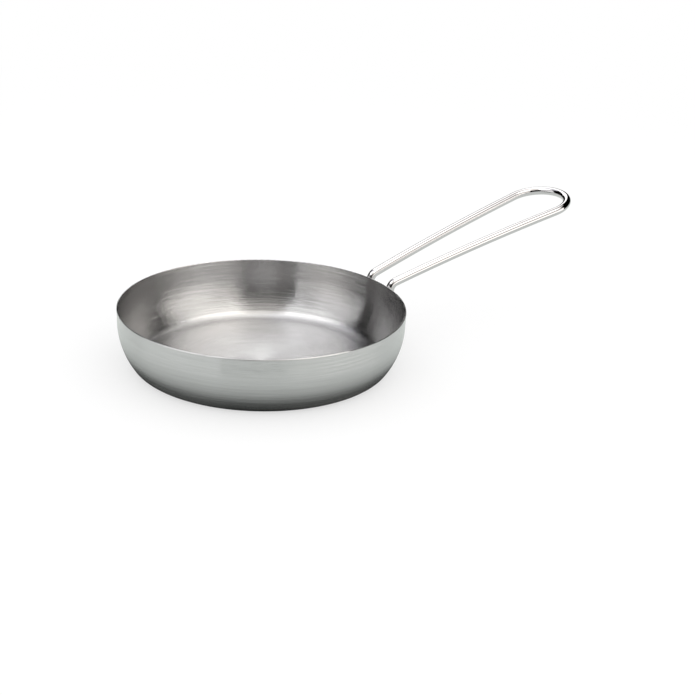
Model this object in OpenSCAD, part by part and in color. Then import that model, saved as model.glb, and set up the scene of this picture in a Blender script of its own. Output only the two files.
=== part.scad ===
// Small omelette pan: a deep-drawn sheet shell with a bent wire loop welded to its wall.
// Millimetres, +Z up. The origin is the middle of the base's underside, and the handle points along +X.
// Right and left are those of the cook who holds the handle.

/* [Pan body] */
// Outside diameter of the rim
rim_d = 160; // [130:1:240]
// Height of the rim above the table
pan_h = 34; // [28:0.5:48]
// Thickness of the drawn sheet
sheet_t = 0.8; // [0.5:0.1:1.6]
// How far the rim stands outside the edge of the flat base
wall_run = 14; // [12:0.5:20]
// Outside radius of the corner between the base and the wall
base_corner_r = 8; // [4:0.5:10]
// Height of the straight band below the rim
rim_band_h = 8.5; // [4:0.5:10]
// Outward lean of the straight band from the vertical, in degrees
rim_lean = 1.5; // [0:0.5:5]

/* [Handle wire] */
// Diameter of the wire
wire_d = 5; // [4:0.1:7]
// Distance between the two legs where they cross the rim, between centres
leg_pitch = 19; // [14:0.5:28]
// Length of each leg in plan, from the rim to the start of the grip bend
leg_len = 118; // [80:1:180]
// Radius of the bend at the end of the grip, to the wire's centre
grip_bend_r = 18.9; // [16:0.1:24]
// Upward slope of the legs where they leave the rim, in degrees
rise_at_rim = 15.6; // [13:0.1:30]
// Upward slope of the legs where the grip bend starts, in degrees
rise_at_grip = 11.6; // [4:0.1:12.5]
// Radius of the bend over the rim, to the wire's centre
rim_bend_r = 5; // [4:0.1:7]
// Height of the legs' centre line above the rim, where it crosses the line of the foot
leg_lift = 0.5; // [-0.5:0.1:2]

/* [Feet and welds] */
// Depth of the end of each leg's centre line below the rim
foot_drop = 13; // [11:0.5:20]
// Gap between each foot and the wall, which the weld fills
foot_gap = 0.1; // [0.05:0.05:0.3]
// Width of the weld on the wall, beyond the wire on each side
weld_toe = 1.1; // [0.5:0.1:2]
// Height of the weld above the wall
weld_h = 1.6; // [0.8:0.1:2]

/* [Hidden] */

satin_steel = [0.70, 0.71, 0.70];
bright_wire = [0.86, 0.87, 0.88];
weld_steel = [0.60, 0.60, 0.59];
body_fn = 256;
wire_fn = 48;

// Where two smooth surfaces meet, one stands this much over the other, so that they truly cross
wall_seam = 0.001;
wire_seam = 0.012;

// Wall section. Points are [radius, height]. The lean is taken at the straight band under the rim.
lean_up = [sin(rim_lean), cos(rim_lean)];
lean_out = [cos(rim_lean), -sin(rim_lean)];
rim_mid = [rim_d / 2 - sheet_t / 2, pan_h - sheet_t / 2];
rim_outer = rim_mid + lean_out * sheet_t / 2;
band_foot = rim_outer - lean_up * (rim_outer.y - pan_h + rim_band_h) / lean_up.y;
corner_mid = [rim_d / 2 - wall_run, base_corner_r];

// The curved wall is one arc. It is tangent to the band at its foot and to the corner arc inside it.
band_gap = band_foot + lean_out * 2 * wall_seam - corner_mid;
tangent_r = (pow(base_corner_r, 2) - band_gap * band_gap)
    / (2 * (base_corner_r - band_gap * lean_out));
wall_mid = corner_mid + band_gap - lean_out * tangent_r;
wall_r = tangent_r - wall_seam;
corner_out = (corner_mid - wall_mid) / norm(corner_mid - wall_mid);

// A leg's foot, in the upright plane through the pan's axis that holds it
wire_off = foot_gap + wire_d / 2;
foot_mid_r = wall_r + wire_off;
foot_turn = asin((wall_mid.y - (pan_h - foot_drop)) / foot_mid_r) - rim_lean;
foot_end = on_wall(foot_mid_r, foot_turn);
foot_bend = on_wall(foot_mid_r, 0);
foot_corner = foot_bend + lean_up * (pan_h + leg_lift - foot_bend.y) / lean_up.y;
foot_plane = asin(leg_pitch / 2 / foot_corner.x);

// A point beside the curved wall, at a distance from the arc's centre and a turn below the straight
function on_wall(distance, turn) = wall_mid + distance * [cos(rim_lean + turn), -sin(rim_lean + turn)];

// The weld's round surface runs from its toe on the wall up to the side of the wire
weld_half = wire_d / 2 + weld_toe;
weld_reach = sqrt(pow(wire_d / 2, 2) - pow(wire_off - weld_h, 2));
weld_depth = (pow(weld_half, 2) - pow(weld_reach, 2) - pow(weld_h, 2)) / (2 * weld_h);
weld_r = norm([weld_half, weld_depth]);

// Turn at which the bead's upper end is centred
weld_top = foot_turn / 3;

// Plan angle of the legs, so that they run tangent into the grip bend
grip_cos = cos(rise_at_grip);
splay_a = pow(leg_len, 2) + pow(grip_bend_r * grip_cos, 2);
splay_b = leg_pitch / 2 * leg_len;
splay_c = pow(leg_pitch / 2, 2) - pow(grip_bend_r, 2);
splay = asin((sqrt(splay_b * splay_b - splay_a * splay_c) - splay_b) / splay_a);
grip_turn = asin(sin(splay) * grip_cos);

// Directions along the wire, for the leg on the +Y side
function heading(plan, rise) = [cos(plan) * cos(rise), sin(plan) * cos(rise), sin(rise)];
function unit(v) = v / norm(v);
up_foot = heading(foot_plane, 90 - rim_lean);
up_leg = heading(splay, rise_at_rim);
end_leg = heading(splay, rise_at_grip);

// The bend over the rim, in the plane of the foot and the leg
leg_corner = [
    foot_corner.x * cos(foot_plane),
    foot_corner.x * sin(foot_plane),
    foot_corner.y
];
rim_turn = acos(up_foot * up_leg);
rim_tangent = rim_bend_r * tan(rim_turn / 2);
rim_toward = unit(up_leg - up_foot * (up_foot * up_leg));
foot_top = foot_corner - lean_up * rim_tangent;

// The long, gentle arch of each leg, in an upright plane
arch_start = leg_corner + up_leg * rim_tangent;
arch_plan = leg_len - rim_tangent * cos(rise_at_rim);
arch_r = arch_plan / (sin(rise_at_rim) - sin(rise_at_grip));
arch_toward = heading(splay, rise_at_rim - 90);
arch_mid = arch_start + arch_toward * arch_r;
arch_end = arch_mid - heading(splay, rise_at_grip - 90) * arch_r;

// The grip bend, in a plane that rises with the ends of the legs
grip_rise = atan(tan(rise_at_grip) / cos(splay));
grip_toward = heading(0, grip_rise) * sin(grip_turn) - [0, cos(grip_turn), 0];

// Puts children where local X, Y and the origin become the given directions and point
module placed(origin, x, y) {
    z = cross(x, y);
    multmatrix([
        [x.x, y.x, z.x, origin.x],
        [x.y, y.y, z.y, origin.y],
        [x.z, y.z, z.z, origin.z],
        [0, 0, 0, 1]
    ])
        children();
}

// Puts children, drawn as [radius, height], in the upright plane that holds the foot
module in_foot_plane() {
    rotate([0, 0, foot_plane])
        rotate([90, 0, 0])
            children();
}

// What lies inside the pan's outside surface once that surface is moved in by depth: a filled core,
// the corner's circle and, from the corner's end up to the band, a slice of the curved wall's circle
module pan_form(depth) {
    polygon([
        [0, depth],
        [corner_mid.x, depth],
        corner_mid,
        band_foot - lean_out * depth,
        rim_outer - lean_out * depth + lean_up * depth,
        [0, rim_outer.y + rim_outer.x * tan(rim_lean) + depth]
    ]);
    translate(corner_mid)
        circle(r = base_corner_r - depth, $fn = body_fn);
    intersection() {
        translate(wall_mid)
            circle(r = wall_r - depth, $fn = body_fn);
        polygon([
            [0, corner_mid.y / 2],
            corner_mid,
            corner_mid + corner_out * 2 * base_corner_r,
            [rim_d, pan_h - rim_band_h / 2],
            [0, pan_h - rim_band_h / 2]
        ]);
    }
}

module rim_crown() {
    translate(rim_mid)
        circle(d = sheet_t - 2 * wall_seam, $fn = wire_fn);
}

module pan_body() {
    color(satin_steel)
        rotate_extrude($fn = body_fn) {
            difference() {
                pan_form(0);
                pan_form(sheet_t);
            }
            rim_crown();
        }
}

// The pan as a filled block, to take out of what is seated on its wall
module pan_block() {
    rotate_extrude($fn = body_fn)
        pan_form(0);
}

// A bend of wire that starts along ahead and turns towards the given side
module bend(start, ahead, toward, radius, angle) {
    placed(start, -toward, ahead)
        translate([-radius, 0, 0])
            swept_round(radius, wire_d / 2, angle);
}

// A round of radius r that is swept about Z at the given distance
module swept_round(distance, r, angle) {
    rotate_extrude(angle = angle, $fn = body_fn)
        translate([distance, 0])
            circle(r = r, $fn = wire_fn);
}

// The end of a round sweep, or the joint between two of them
module round_joint(at, r) {
    translate(at)
        sphere(r = r + wire_seam, $fn = wire_fn);
}

// The end of a leg, from its tip on the wall to the start of the bend over the rim
module foot() {
    in_foot_plane() {
        round_joint(foot_end, wire_d / 2);
        along_wall(foot_mid_r, wire_d / 2, 0);
        round_joint(foot_bend, wire_d / 2);
        translate(foot_bend)
            rotate([-90, 0, -rim_lean])
                cylinder(h = norm(foot_top - foot_bend), d = wire_d, $fn = wire_fn);
        round_joint(foot_top, wire_d / 2);
    }
}

// A round of radius r, swept beside the curved wall from the foot's end up to the given turn
module along_wall(distance, r, turn) {
    translate(wall_mid)
        rotate([0, 0, -rim_lean - foot_turn])
            swept_round(distance, r, foot_turn - turn);
}

module leg() {
    foot();
    bend(leg_corner - up_foot * rim_tangent, up_foot, rim_toward, rim_bend_r, rim_turn);
    round_joint(arch_start, wire_d / 2);
    bend(arch_start, up_leg, arch_toward, arch_r, rise_at_rim - rise_at_grip);
    round_joint(arch_end, wire_d / 2);
}

module loop_handle() {
    color(bright_wire)
        union() {
            leg();
            mirror([0, 1, 0])
                leg();
            bend(arch_end, end_leg, grip_toward, grip_bend_r, 180 + 2 * grip_turn);
        }
}

// A bead along both sides of the foot and round its end
module leg_weld() {
    weld_mid_r = wall_r - weld_depth;
    difference() {
        in_foot_plane() {
            along_wall(weld_mid_r, weld_r, weld_top);
            for (turn = [weld_top, foot_turn])
                round_joint(on_wall(weld_mid_r, turn), weld_r);
        }
        foot();
        pan_block();
    }
}

module right_leg_weld() {
    color(weld_steel)
        leg_weld();
}

module left_leg_weld() {
    color(weld_steel)
        mirror([0, 1, 0])
            leg_weld();
}

pan_body();
loop_handle();
right_leg_weld();
left_leg_weld();
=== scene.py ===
"""Omelette pan in brushed steel with a bright wire handle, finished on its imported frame.

Metres, +Z up. The origin is the middle of the base's underside, and the handle points along +X.
"""
import math

import bpy
from bpy.props import FloatProperty, FloatVectorProperty, PointerProperty
from mathutils import Matrix, Vector


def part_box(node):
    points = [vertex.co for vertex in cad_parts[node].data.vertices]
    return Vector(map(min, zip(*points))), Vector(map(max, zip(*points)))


bl_info = {
    "name": "Omelette Pan",
    "version": (1, 0, 0),
    "blender": (4, 5, 0),
    "location": "3D View > Sidebar > Omelette Pan",
    "description": "Finishes a small steel pan and sets it in a pale studio",
    "category": "Object",
}

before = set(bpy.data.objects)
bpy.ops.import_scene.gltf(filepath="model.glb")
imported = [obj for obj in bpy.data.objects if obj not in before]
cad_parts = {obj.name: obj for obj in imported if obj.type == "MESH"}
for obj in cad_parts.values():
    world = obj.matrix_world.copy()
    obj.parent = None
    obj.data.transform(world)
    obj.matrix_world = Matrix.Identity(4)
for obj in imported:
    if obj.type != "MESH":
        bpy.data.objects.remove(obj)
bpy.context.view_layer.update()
MM = 0.001
WHITE = (1, 1, 1, 1)

# Width of the camera's sensor, in millimetres
SENSOR = 36.0

# Numbers of the sockets by which a Mix node mixes two colours
MIX_FACTOR = 0
MIX_A = 6
MIX_B = 7
MIX_RESULT = 2

# The value that noise varies about
NOISE_MIDDLE = 0.5

# The pan's floor roughness holds up to the first of these heights, and the wall's from the second
FLOOR_FINISH_TOP = 3 * MM
WALL_FINISH_FOOT = 9 * MM

# The spread of light is turned by this share of a full turn, so that it goes across the scratches
BRUSHED_TURN = 0.25

# How far the streaks, and the haze on the wire, change the roughness
STREAK_SPREAD = 0.10
HAZE_SPREAD = 0.06

# How far the studio's floor reaches each way, and how far it lies under the base
FLOOR_REACH = 4.0
FLOOR_DROP = 0.05 * MM

# For the camera, the floor's shadow fades out from the first of these distances from the middle to the second
SHADOW_FULL = 0.2
SHADOW_GONE = 0.8

# Each lamp's name, bearing, distance, height, width, length and brightness, and the height they all look at
LAMPS = (
    ("left_panel", -58, 1.0, 0.60, 1.25, 1.3, 0.25),
    ("right_panel", 58, 1.0, 0.60, 1.25, 1.3, 0.25),
    ("top_panel", 180, 0.1, 1.3, 1.5, 1.5, 0.3),
)
LAMP_AIM = 0.02

# The tent of panels that the steel reflects. Its rows meet at these heights, in degrees over the table.
TENT_RADIUS = 1.0
TENT_ROWS = (0, 24, 46, 76, 90)

# About how many degrees each face of a panel spans, across and up, and the least faces each way
TENT_FACE = (4, 6)
TENT_LEAST = 2

PLAIN = (1.0, 1.0, 1.0)
WARM = (1.03, 1.0, 0.95)
COOL = (0.98, 0.98, 1.05)

# Each side's name, first and last bearing, tint, and grey from the lowest row to the roof
TENT_SIDES = (
    ("front", -26, 26, WARM, (0.0, 0.05, 1.2, 1.7)),
    ("right_front", 26, 50, WARM, (1.3, 0.7, 2.6, 1.7)),
    ("right", 50, 99, WARM, (2.1, 0.7, 2.8, 1.7)),
    ("right_edge", 99, 114, PLAIN, (0.0, 0.0, 2.5, 1.7)),
    ("right_back", 114, 158, WARM, (0.0, 0.0, 0.8, 1.7)),
    ("back", 158, 202, PLAIN, (0.0, 2.1, 2.4, 1.9)),
    ("left_back", 202, 252, COOL, (0.0, 0.0, 0.8, 1.7)),
    ("left_edge", 252, 266, PLAIN, (0.0, 0.0, 2.6, 1.7)),
    ("left", 266, 310, PLAIN, (1.5, 0.55, 2.8, 1.7)),
    ("left_front", 310, 334, PLAIN, (1.3, 0.1, 2.8, 1.7)),
)

# The table as the steel sees it, glowing in greys that hold a painted shadow, dark under the pan and pale
# away from it. Each place is the distance from the middle times the scale.
TABLE_SCALE = 5.0
TABLE_PAINTED_SHADOW_GREYS = ((0.355, 0.04), (0.385, 0.11), (0.42, 0.52), (0.50, 0.74), (0.60, 0.88))
TABLE_TINT = (1.0, 1.05, 1.015)


class Signal:
    """One socket of a finish. Python's arithmetic on it adds Math nodes."""

    def __init__(self, finish, socket):
        self.finish = finish
        self.socket = socket

    def math(self, operation, *terms):
        return self.finish.node("ShaderNodeMath", {"operation": operation}, dict(enumerate(terms)))

    def __add__(self, other):
        return self.math("ADD", self, other)

    __radd__ = __add__

    def __sub__(self, other):
        return self.math("SUBTRACT", self, other)

    def __rsub__(self, other):
        return self.math("SUBTRACT", other, self)

    def __mul__(self, other):
        return self.math("MULTIPLY", self, other)

    __rmul__ = __mul__

    def __truediv__(self, other):
        return self.math("DIVIDE", self, other)

    def __rtruediv__(self, other):
        return self.math("DIVIDE", other, self)

    def __pow__(self, power):
        return self.math("POWER", self, power)

    def __rpow__(self, base):
        return self.math("POWER", base, self)


class Finish:
    """The nodes of a material or of the world, built one by one."""

    def __init__(self, owner):
        self.owner = owner
        owner.use_nodes = True
        self.tree = owner.node_tree
        self.tree.nodes.clear()

    def node(self, kind, settings=None, values=None, output=0):
        """Adds a node, sets it up, fills or links its sockets, and gives back one of its outputs."""
        node = self.tree.nodes.new(kind)
        for name, value in (settings or {}).items():
            if name == "stops":
                set_stops(node.color_ramp, value)
            else:
                setattr(node, name, value)
        for name, value in (values or {}).items():
            if isinstance(value, Signal):
                self.tree.links.new(value.socket, node.inputs[name])
            else:
                node.inputs[name].default_value = value
        return Signal(self, node.outputs[output]) if node.outputs else None

    def close(self, surface):
        """Puts the surface on the output, and gives back the finished material or world."""
        kind = "World" if isinstance(self.owner, bpy.types.World) else "Material"
        self.node(f"ShaderNodeOutput{kind}", {}, {"Surface": surface})
        return self.owner


class BodyLook(bpy.types.PropertyGroup):
    """How the brushed pan looks."""

    steel: FloatVectorProperty(
        name="Steel", description="Colour that the brushed steel reflects",
        subtype="COLOR", size=3, min=0, max=1, default=(0.56, 0.555, 0.555))
    roughness: FloatProperty(
        name="Roughness", description="How far the brushing spreads a reflection",
        subtype="FACTOR", min=0.05, max=1, default=0.19)
    floor_roughness: FloatProperty(
        name="Floor roughness", description="The same on the pan's floor and its corner",
        subtype="FACTOR", min=0.05, max=1, default=0.23)
    brushing: FloatProperty(
        name="Brushing", description="How much more the steel spreads light across its scratches",
        subtype="FACTOR", min=0, max=1, default=1.0)
    scratch_depth: FloatProperty(
        name="Scratch depth", description="Depth of the brushed lines",
        subtype="DISTANCE", unit="LENGTH", min=0, max=1 * MM, default=0.2 * MM)


class WireLook(bpy.types.PropertyGroup):
    """How the handle's wire looks."""

    steel: FloatVectorProperty(
        name="Wire", description="Colour that the polished wire reflects",
        subtype="COLOR", size=3, min=0, max=1, default=(0.575, 0.56, 0.565))
    roughness: FloatProperty(
        name="Roughness", description="How far the polish spreads a reflection",
        subtype="FACTOR", min=0.01, max=1, default=0.08)


class WeldLook(bpy.types.PropertyGroup):
    """How the two welds look."""

    steel: FloatVectorProperty(
        name="Weld", description="Colour that the weld metal reflects",
        subtype="COLOR", size=3, min=0, max=1, default=(0.50, 0.49, 0.47))
    roughness: FloatProperty(
        name="Roughness", description="How dull the weld metal is",
        subtype="FACTOR", min=0.05, max=1, default=0.38)


class StudioLook(bpy.types.PropertyGroup):
    """Where the camera stands and how bright the studio is."""

    turn: FloatProperty(
        name="Turn", description="How far the handle is turned away from the camera's right",
        subtype="ANGLE", unit="ROTATION", default=math.radians(36.676))
    tilt: FloatProperty(
        name="Tilt", description="How far the camera looks down",
        subtype="ANGLE", unit="ROTATION", default=math.radians(21.826))
    roll: FloatProperty(
        name="Roll", description="How far the camera leans about its own line of sight",
        subtype="ANGLE", unit="ROTATION", default=math.radians(2.146))
    distance: FloatProperty(
        name="Distance", description="From the camera to the middle of the rim, along its line of sight",
        subtype="DISTANCE", unit="LENGTH", default=0.8623)
    rim_left: FloatProperty(
        name="Rim left", description="How far the middle of the rim stands left of the line of sight",
        subtype="DISTANCE", unit="LENGTH", default=0.04729)
    rim_over: FloatProperty(
        name="Rim over", description="How far the middle of the rim stands over the line of sight",
        subtype="DISTANCE", unit="LENGTH", default=0.02342)
    lens: FloatProperty(
        name="Lens", description="Focal length on a 36 mm sensor, in millimetres",
        subtype="DISTANCE_CAMERA", unit="CAMERA", min=10, default=80.6)
    floor: FloatVectorProperty(
        name="Floor", description="Colour of the studio floor",
        subtype="COLOR", size=3, min=0, max=1, default=(0.94, 0.94, 0.94))
    glow: FloatProperty(
        name="Glow", description="How much of the floor's shadow the camera doesn't see",
        subtype="FACTOR", min=0, max=1, default=0.62)
    room: FloatProperty(
        name="Room", description="Brightness of the room around the pan",
        min=0, max=2, default=1.0)


class PanLook(bpy.types.PropertyGroup):
    """The looks of the whole pan and its studio."""

    body: PointerProperty(type=BodyLook)
    wire: PointerProperty(type=WireLook)
    weld: PointerProperty(type=WeldLook)
    studio: PointerProperty(type=StudioLook)


def colour(rgb):
    return (rgb[0], rgb[1], rgb[2], 1)


def new_finish(name):
    return Finish(bpy.data.materials.new(name))


def set_stops(ramp, stops):
    """Gives a ramp its greys. Stops are (place, grey), and there are two or more."""
    while len(ramp.elements) < len(stops):
        ramp.elements.new(0.5)
    for element, (place, grey) in zip(ramp.elements, stops):
        element.position = place
        element.color = colour((grey, grey, grey))


def dress(node_name, material):
    """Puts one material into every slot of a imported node."""
    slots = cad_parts[node_name].material_slots
    if not slots:
        raise RuntimeError(f"{node_name} has no material slot")
    for slot in slots:
        slot.material = material


def place_of(finish):
    """Where a point of the surface is, in metres from the origin."""
    return finish.node("ShaderNodeTexCoord", output="Object")


def part_of(finish, place, axis):
    return finish.node("ShaderNodeSeparateXYZ", {}, {"Vector": place}, axis)


def even_noise(finish, fine, detail):
    """Noise that is alike in all directions. Fine is how many patches there are in a metre."""
    return finish.node("ShaderNodeTexNoise", {}, {
        "Vector": place_of(finish),
        "Scale": fine,
        "Detail": detail,
    }, "Fac")


def round_the_axis(finish, fine, along, offset, detail):
    """Noise in lines that run round the pan. Fine is how many lines there are in a metre across them, along
    is how many patches there are in a radian, and the offset sets it apart from the others."""
    place = place_of(finish)
    x, y, z = (part_of(finish, place, axis) for axis in "XYZ")
    radius = (x * x + y * y) ** 0.5
    vector = finish.node("ShaderNodeCombineXYZ", {}, {
        "X": radius * fine + offset,
        "Y": z * fine,
        "Z": x / radius * along,
    })
    return finish.node("ShaderNodeTexNoise", {"noise_dimensions": "4D"}, {
        "Vector": vector,
        "W": y / radius * along,
        "Scale": 1.0,
        "Detail": detail,
        "Roughness": 0.6,
    }, "Fac")


def fading(finish, value, span, ends):
    """Goes smoothly from the first end to the second, while the value goes over the span."""
    return finish.node("ShaderNodeMapRange", {"interpolation_type": "SMOOTHSTEP"}, {
        "Value": value,
        "From Min": span[0],
        "From Max": span[1],
        "To Min": ends[0],
        "To Max": ends[1],
    })


def shaded(finish, factor, steel, darkest, lightest):
    """The steel's colour, from a darker to a lighter share of it as the factor grows."""
    return finish.node("ShaderNodeMix", {"data_type": "RGBA"}, {
        MIX_FACTOR: factor,
        MIX_A: colour([part * darkest for part in steel]),
        MIX_B: colour([min(1, part * lightest) for part in steel]),
    }, MIX_RESULT)


def relief(finish, depth, height):
    return finish.node("ShaderNodeBump", {}, {"Strength": 1.0, "Distance": depth, "Height": height})


def close_metal(finish, values):
    return finish.close(finish.node("ShaderNodeBsdfPrincipled", {}, {"Metallic": 1.0, **values}))


def brushed_body(look):
    finish = new_finish("brushed_body")
    lines = round_the_axis(finish, fine=3500.0, along=2.5, offset=0.0, detail=2.0)
    bands = round_the_axis(finish, fine=1100.0, along=1.4, offset=31.0, detail=3.0)
    cloud = round_the_axis(finish, fine=60.0, along=0.7, offset=57.0, detail=2.0)
    height = part_of(finish, place_of(finish), "Z")
    low = fading(finish, height, (WALL_FINISH_FOOT, FLOOR_FINISH_TOP), (0.0, 1.0))
    streaks = (bands - NOISE_MIDDLE) * STREAK_SPREAD
    blend = bands * 0.45 + lines * 0.45 + cloud * 0.1
    return close_metal(finish, {
        "Base Color": shaded(finish, blend, look.steel, darkest=0.83, lightest=1.17),
        "Roughness": look.roughness + streaks + low * (look.floor_roughness - look.roughness),
        "Anisotropic": look.brushing,
        "Anisotropic Rotation": BRUSHED_TURN,
        "Normal": relief(finish, look.scratch_depth, lines * 0.5 + bands * 0.5),
    })


def bright_wire(look):
    finish = new_finish("bright_wire")
    haze = even_noise(finish, 400.0, 3.0)
    wave = even_noise(finish, 90.0, 2.0)
    return close_metal(finish, {
        "Base Color": colour(look.steel),
        "Roughness": look.roughness + (haze - NOISE_MIDDLE) * HAZE_SPREAD,
        "Normal": relief(finish, 0.01 * MM, wave),
    })


def weld_metal(look):
    finish = new_finish("weld_metal")
    heat = even_noise(finish, 220.0, 2.0)
    grain = even_noise(finish, 1500.0, 3.0)
    ripple = finish.node("ShaderNodeTexWave", {"bands_direction": "Z"}, {
        "Vector": place_of(finish),
        "Scale": 260.0,
        "Distortion": 2.0,
        "Detail": 1.0,
    }, "Fac")
    return close_metal(finish, {
        "Base Color": shaded(finish, heat, look.steel, darkest=0.80, lightest=1.10),
        "Roughness": look.roughness + grain * 0.12,
        "Normal": relief(finish, 0.12 * MM, ripple * 0.6 + grain * 0.4),
    })


class PAN_OT_dress_body(bpy.types.Operator):
    """Gives the pan its brushed steel"""
    bl_idname = "pan.dress_body"
    bl_label = "Brush the pan"

    def execute(self, context):
        dress("pan_body", brushed_body(context.scene.pan_look.body))
        return {"FINISHED"}


class PAN_OT_dress_handle(bpy.types.Operator):
    """Gives the loop handle its bright wire"""
    bl_idname = "pan.dress_handle"
    bl_label = "Polish the handle"

    def execute(self, context):
        dress("loop_handle", bright_wire(context.scene.pan_look.wire))
        return {"FINISHED"}


class PAN_OT_dress_welds(bpy.types.Operator):
    """Gives both welds their duller metal"""
    bl_idname = "pan.dress_welds"
    bl_label = "Finish the welds"

    def execute(self, context):
        metal = weld_metal(context.scene.pan_look.weld)
        for side in ("right", "left"):
            dress(f"{side}_leg_weld", metal)
        return {"FINISHED"}


def view_axes(studio):
    """The camera's right, up and forward, in the pan's own directions."""
    turned = Matrix.Rotation(-studio.turn, 3, "Z")
    right = turned @ Vector((1, 0, 0))
    forward = turned @ Vector((0, math.cos(studio.tilt), -math.sin(studio.tilt)))
    up = turned @ Vector((0, math.sin(studio.tilt), math.cos(studio.tilt)))
    lean = Matrix.Rotation(-studio.roll, 3, forward)
    return lean @ right, lean @ up, forward


def set_camera(studio):
    right, up, forward = view_axes(studio)
    rim = Vector((0, 0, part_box("pan_body")[1].z))
    data = bpy.data.cameras.new("camera")
    data.sensor_width = SENSOR
    data.lens = studio.lens
    camera = bpy.data.objects.new("camera", data)
    pose = Matrix((right, up, -forward)).transposed().to_4x4()
    pose.translation = rim + right * studio.rim_left - up * studio.rim_over - forward * studio.distance
    camera.matrix_world = pose
    bpy.context.scene.collection.objects.link(camera)
    bpy.context.scene.camera = camera


def in_studio(studio, bearing, distance, height):
    """A place in the studio. Bearing 0 is towards the camera, and grows to the camera's right."""
    angle = math.radians(bearing)
    place = Vector((math.sin(angle) * distance, -math.cos(angle) * distance, height))
    return Matrix.Rotation(-studio.turn, 3, "Z") @ place


def facing(place, aim):
    """The pose of something at a place whose -Z looks at the aim."""
    pose = (aim - place).to_track_quat("-Z", "Y").to_matrix().to_4x4()
    pose.translation = place
    return pose


def set_lamp(studio, name, bearing, distance, height, width, tall, brightness):
    """A soft lamp that looks at the pan and that the steel doesn't reflect. Brightness 1 is white."""
    data = bpy.data.lights.new(name, "AREA")
    data.shape = "RECTANGLE"
    data.size = width
    data.size_y = tall
    data.energy = brightness * math.pi * width * tall
    lamp = bpy.data.objects.new(name, data)
    place = in_studio(studio, bearing, distance, height)
    lamp.matrix_world = facing(place, Vector((0, 0, LAMP_AIM)))
    lamp.visible_camera = False
    lamp.visible_glossy = False
    bpy.context.scene.collection.objects.link(lamp)


def glowing(finish, shade):
    return finish.node("ShaderNodeEmission", {}, {"Color": shade, "Strength": 1.0})


def either(finish, factor, first, second):
    """The first shader where the factor is 0, and the second where it is 1."""
    return finish.node("ShaderNodeMixShader", {}, {0: factor, 1: first, 2: second})


def ray_is(finish, kind):
    """1 where the light path's ray is of this kind."""
    return finish.node("ShaderNodeLightPath", output=f"Is {kind} Ray")


def tent_mesh(studio, name, bearings, heights):
    """A piece of the tent's round wall. Both spans are in degrees."""
    wide = bearings[1] - bearings[0]
    high = heights[1] - heights[0]
    across = max(TENT_LEAST, round(wide / TENT_FACE[0]))
    tall = max(TENT_LEAST, round(high / TENT_FACE[1]))
    points = []
    for row in range(tall + 1):
        rise = math.radians(heights[0] + high * row / tall)
        reach = TENT_RADIUS * math.cos(rise)
        for column in range(across + 1):
            bearing = bearings[0] + wide * column / across
            points.append(in_studio(studio, bearing, reach, TENT_RADIUS * math.sin(rise)))
    faces = []
    for row in range(tall):
        for column in range(across):
            first = row * (across + 1) + column
            faces.append((first, first + 1, first + across + 2, first + across + 1))
    mesh = bpy.data.meshes.new(name)
    mesh.from_pydata(points, [], faces)
    return mesh


def set_tent_panel(studio, name, bearings, heights, shade):
    """One panel of the tent round the table, which only the steel sees."""
    mesh = tent_mesh(studio, name, bearings, heights)
    finish = new_finish(name)
    mesh.materials.append(finish.close(glowing(finish, colour(shade))))
    panel = bpy.data.objects.new(name, mesh)
    panel.visible_camera = False
    panel.visible_diffuse = False
    panel.visible_shadow = False
    bpy.context.scene.collection.objects.link(panel)


def set_tent(studio):
    for side, first, last, tint, greys in TENT_SIDES:
        for row, grey in enumerate(greys):
            heights = (TENT_ROWS[row], TENT_ROWS[row + 1])
            shade = [grey * share for share in tint]
            set_tent_panel(studio, f"{side}_{row}", (first, last), heights, shade)


def table_finish_with_painted_shadow(studio):
    """The camera sees the table pale with a faint shadow, and the steel sees it glow in greys with a painted
    shadow that darkens it under the pan.
    """
    finish = new_finish("floor")
    reach = finish.node("ShaderNodeVectorMath", {"operation": "LENGTH"}, {0: place_of(finish)}, "Value")
    # Painted shadow: the greys that the steel sees go dark towards the middle, under the pan
    grey = finish.node("ShaderNodeValToRGB", {"stops": TABLE_PAINTED_SHADOW_GREYS}, {"Fac": reach * TABLE_SCALE}, "Color")
    table = finish.node("ShaderNodeVectorMath", {"operation": "MULTIPLY"}, {0: grey, 1: TABLE_TINT}, "Vector")
    pale = finish.node("ShaderNodeBsdfDiffuse", {}, {"Color": colour(studio.floor)})
    glow = fading(finish, reach, (SHADOW_FULL, SHADOW_GONE), (studio.glow, 1.0))
    lit = either(finish, ray_is(finish, "Camera") * glow, pale, glowing(finish, WHITE))
    return finish.close(either(finish, ray_is(finish, "Glossy"), lit, glowing(finish, table)))


def set_table(studio):
    corners = [(across * FLOOR_REACH, along * FLOOR_REACH, -FLOOR_DROP)
               for across, along in ((-1, -1), (1, -1), (1, 1), (-1, 1))]
    mesh = bpy.data.meshes.new("floor")
    mesh.from_pydata(corners, [], [(0, 1, 2, 3)])
    mesh.materials.append(table_finish_with_painted_shadow(studio))
    floor = bpy.data.objects.new("floor", mesh)
    bpy.context.scene.collection.objects.link(floor)


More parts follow.
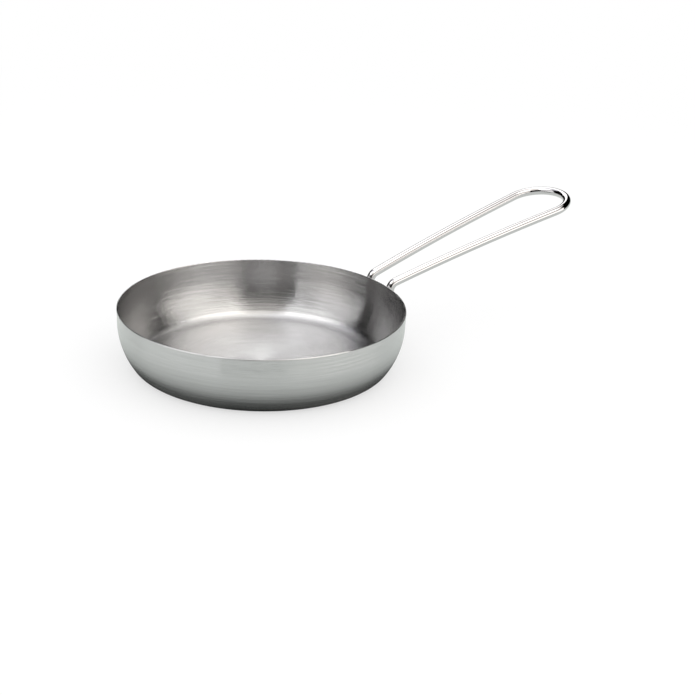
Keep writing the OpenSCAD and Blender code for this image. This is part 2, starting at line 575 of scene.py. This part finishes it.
def room_finish(studio):
    """The world: white to the camera, and as bright as the look says to everything else."""
    finish = Finish(bpy.data.worlds.new("studio"))
    room, white = (finish.node("ShaderNodeBackground", {}, {"Color": WHITE, "Strength": strength})
                   for strength in (studio.room, 1.0))
    return finish.close(either(finish, ray_is(finish, "Camera"), room, white))


class PAN_OT_set_studio(bpy.types.Operator):
    """Sets the camera, the pale floor, the soft lamps, the tent and the room"""
    bl_idname = "pan.set_studio"
    bl_label = "Set the studio"

    def execute(self, context):
        studio = context.scene.pan_look.studio
        set_camera(studio)
        set_table(studio)
        for lamp in LAMPS:
            set_lamp(studio, *lamp)
        set_tent(studio)
        context.scene.world = room_finish(studio)
        context.scene.view_settings.view_transform = "Standard"
        return {"FINISHED"}


class PAN_PT_look(bpy.types.Panel):
    """Lists the pan's looks and the steps that use them"""
    bl_idname = "PAN_PT_look"
    bl_label = "Omelette Pan"
    bl_space_type = "VIEW_3D"
    bl_region_type = "UI"
    bl_category = "Omelette Pan"

    def draw(self, context):
        look = context.scene.pan_look
        for title, group, step in (
            ("Pan", look.body, PAN_OT_dress_body),
            ("Handle", look.wire, PAN_OT_dress_handle),
            ("Welds", look.weld, PAN_OT_dress_welds),
            ("Studio", look.studio, PAN_OT_set_studio),
        ):
            box = self.layout.box()
            box.label(text=title)
            for name in group.bl_rna.properties.keys():
                if name not in ("rna_type", "name"):
                    box.prop(group, name)
            box.operator(step.bl_idname)


CLASSES = (
    BodyLook, WireLook, WeldLook, StudioLook, PanLook,
    PAN_OT_dress_body, PAN_OT_dress_handle, PAN_OT_dress_welds, PAN_OT_set_studio,
    PAN_PT_look,
)


def register():
    for cls in CLASSES:
        bpy.utils.register_class(cls)
    bpy.types.Scene.pan_look = PointerProperty(type=PanLook)


def unregister():
    del bpy.types.Scene.pan_look
    for cls in reversed(CLASSES):
        bpy.utils.unregister_class(cls)


def main():
    register()
    bpy.ops.pan.dress_body()
    bpy.ops.pan.dress_handle()
    bpy.ops.pan.dress_welds()
    bpy.ops.pan.set_studio()


if __name__ == "__main__":
    main()
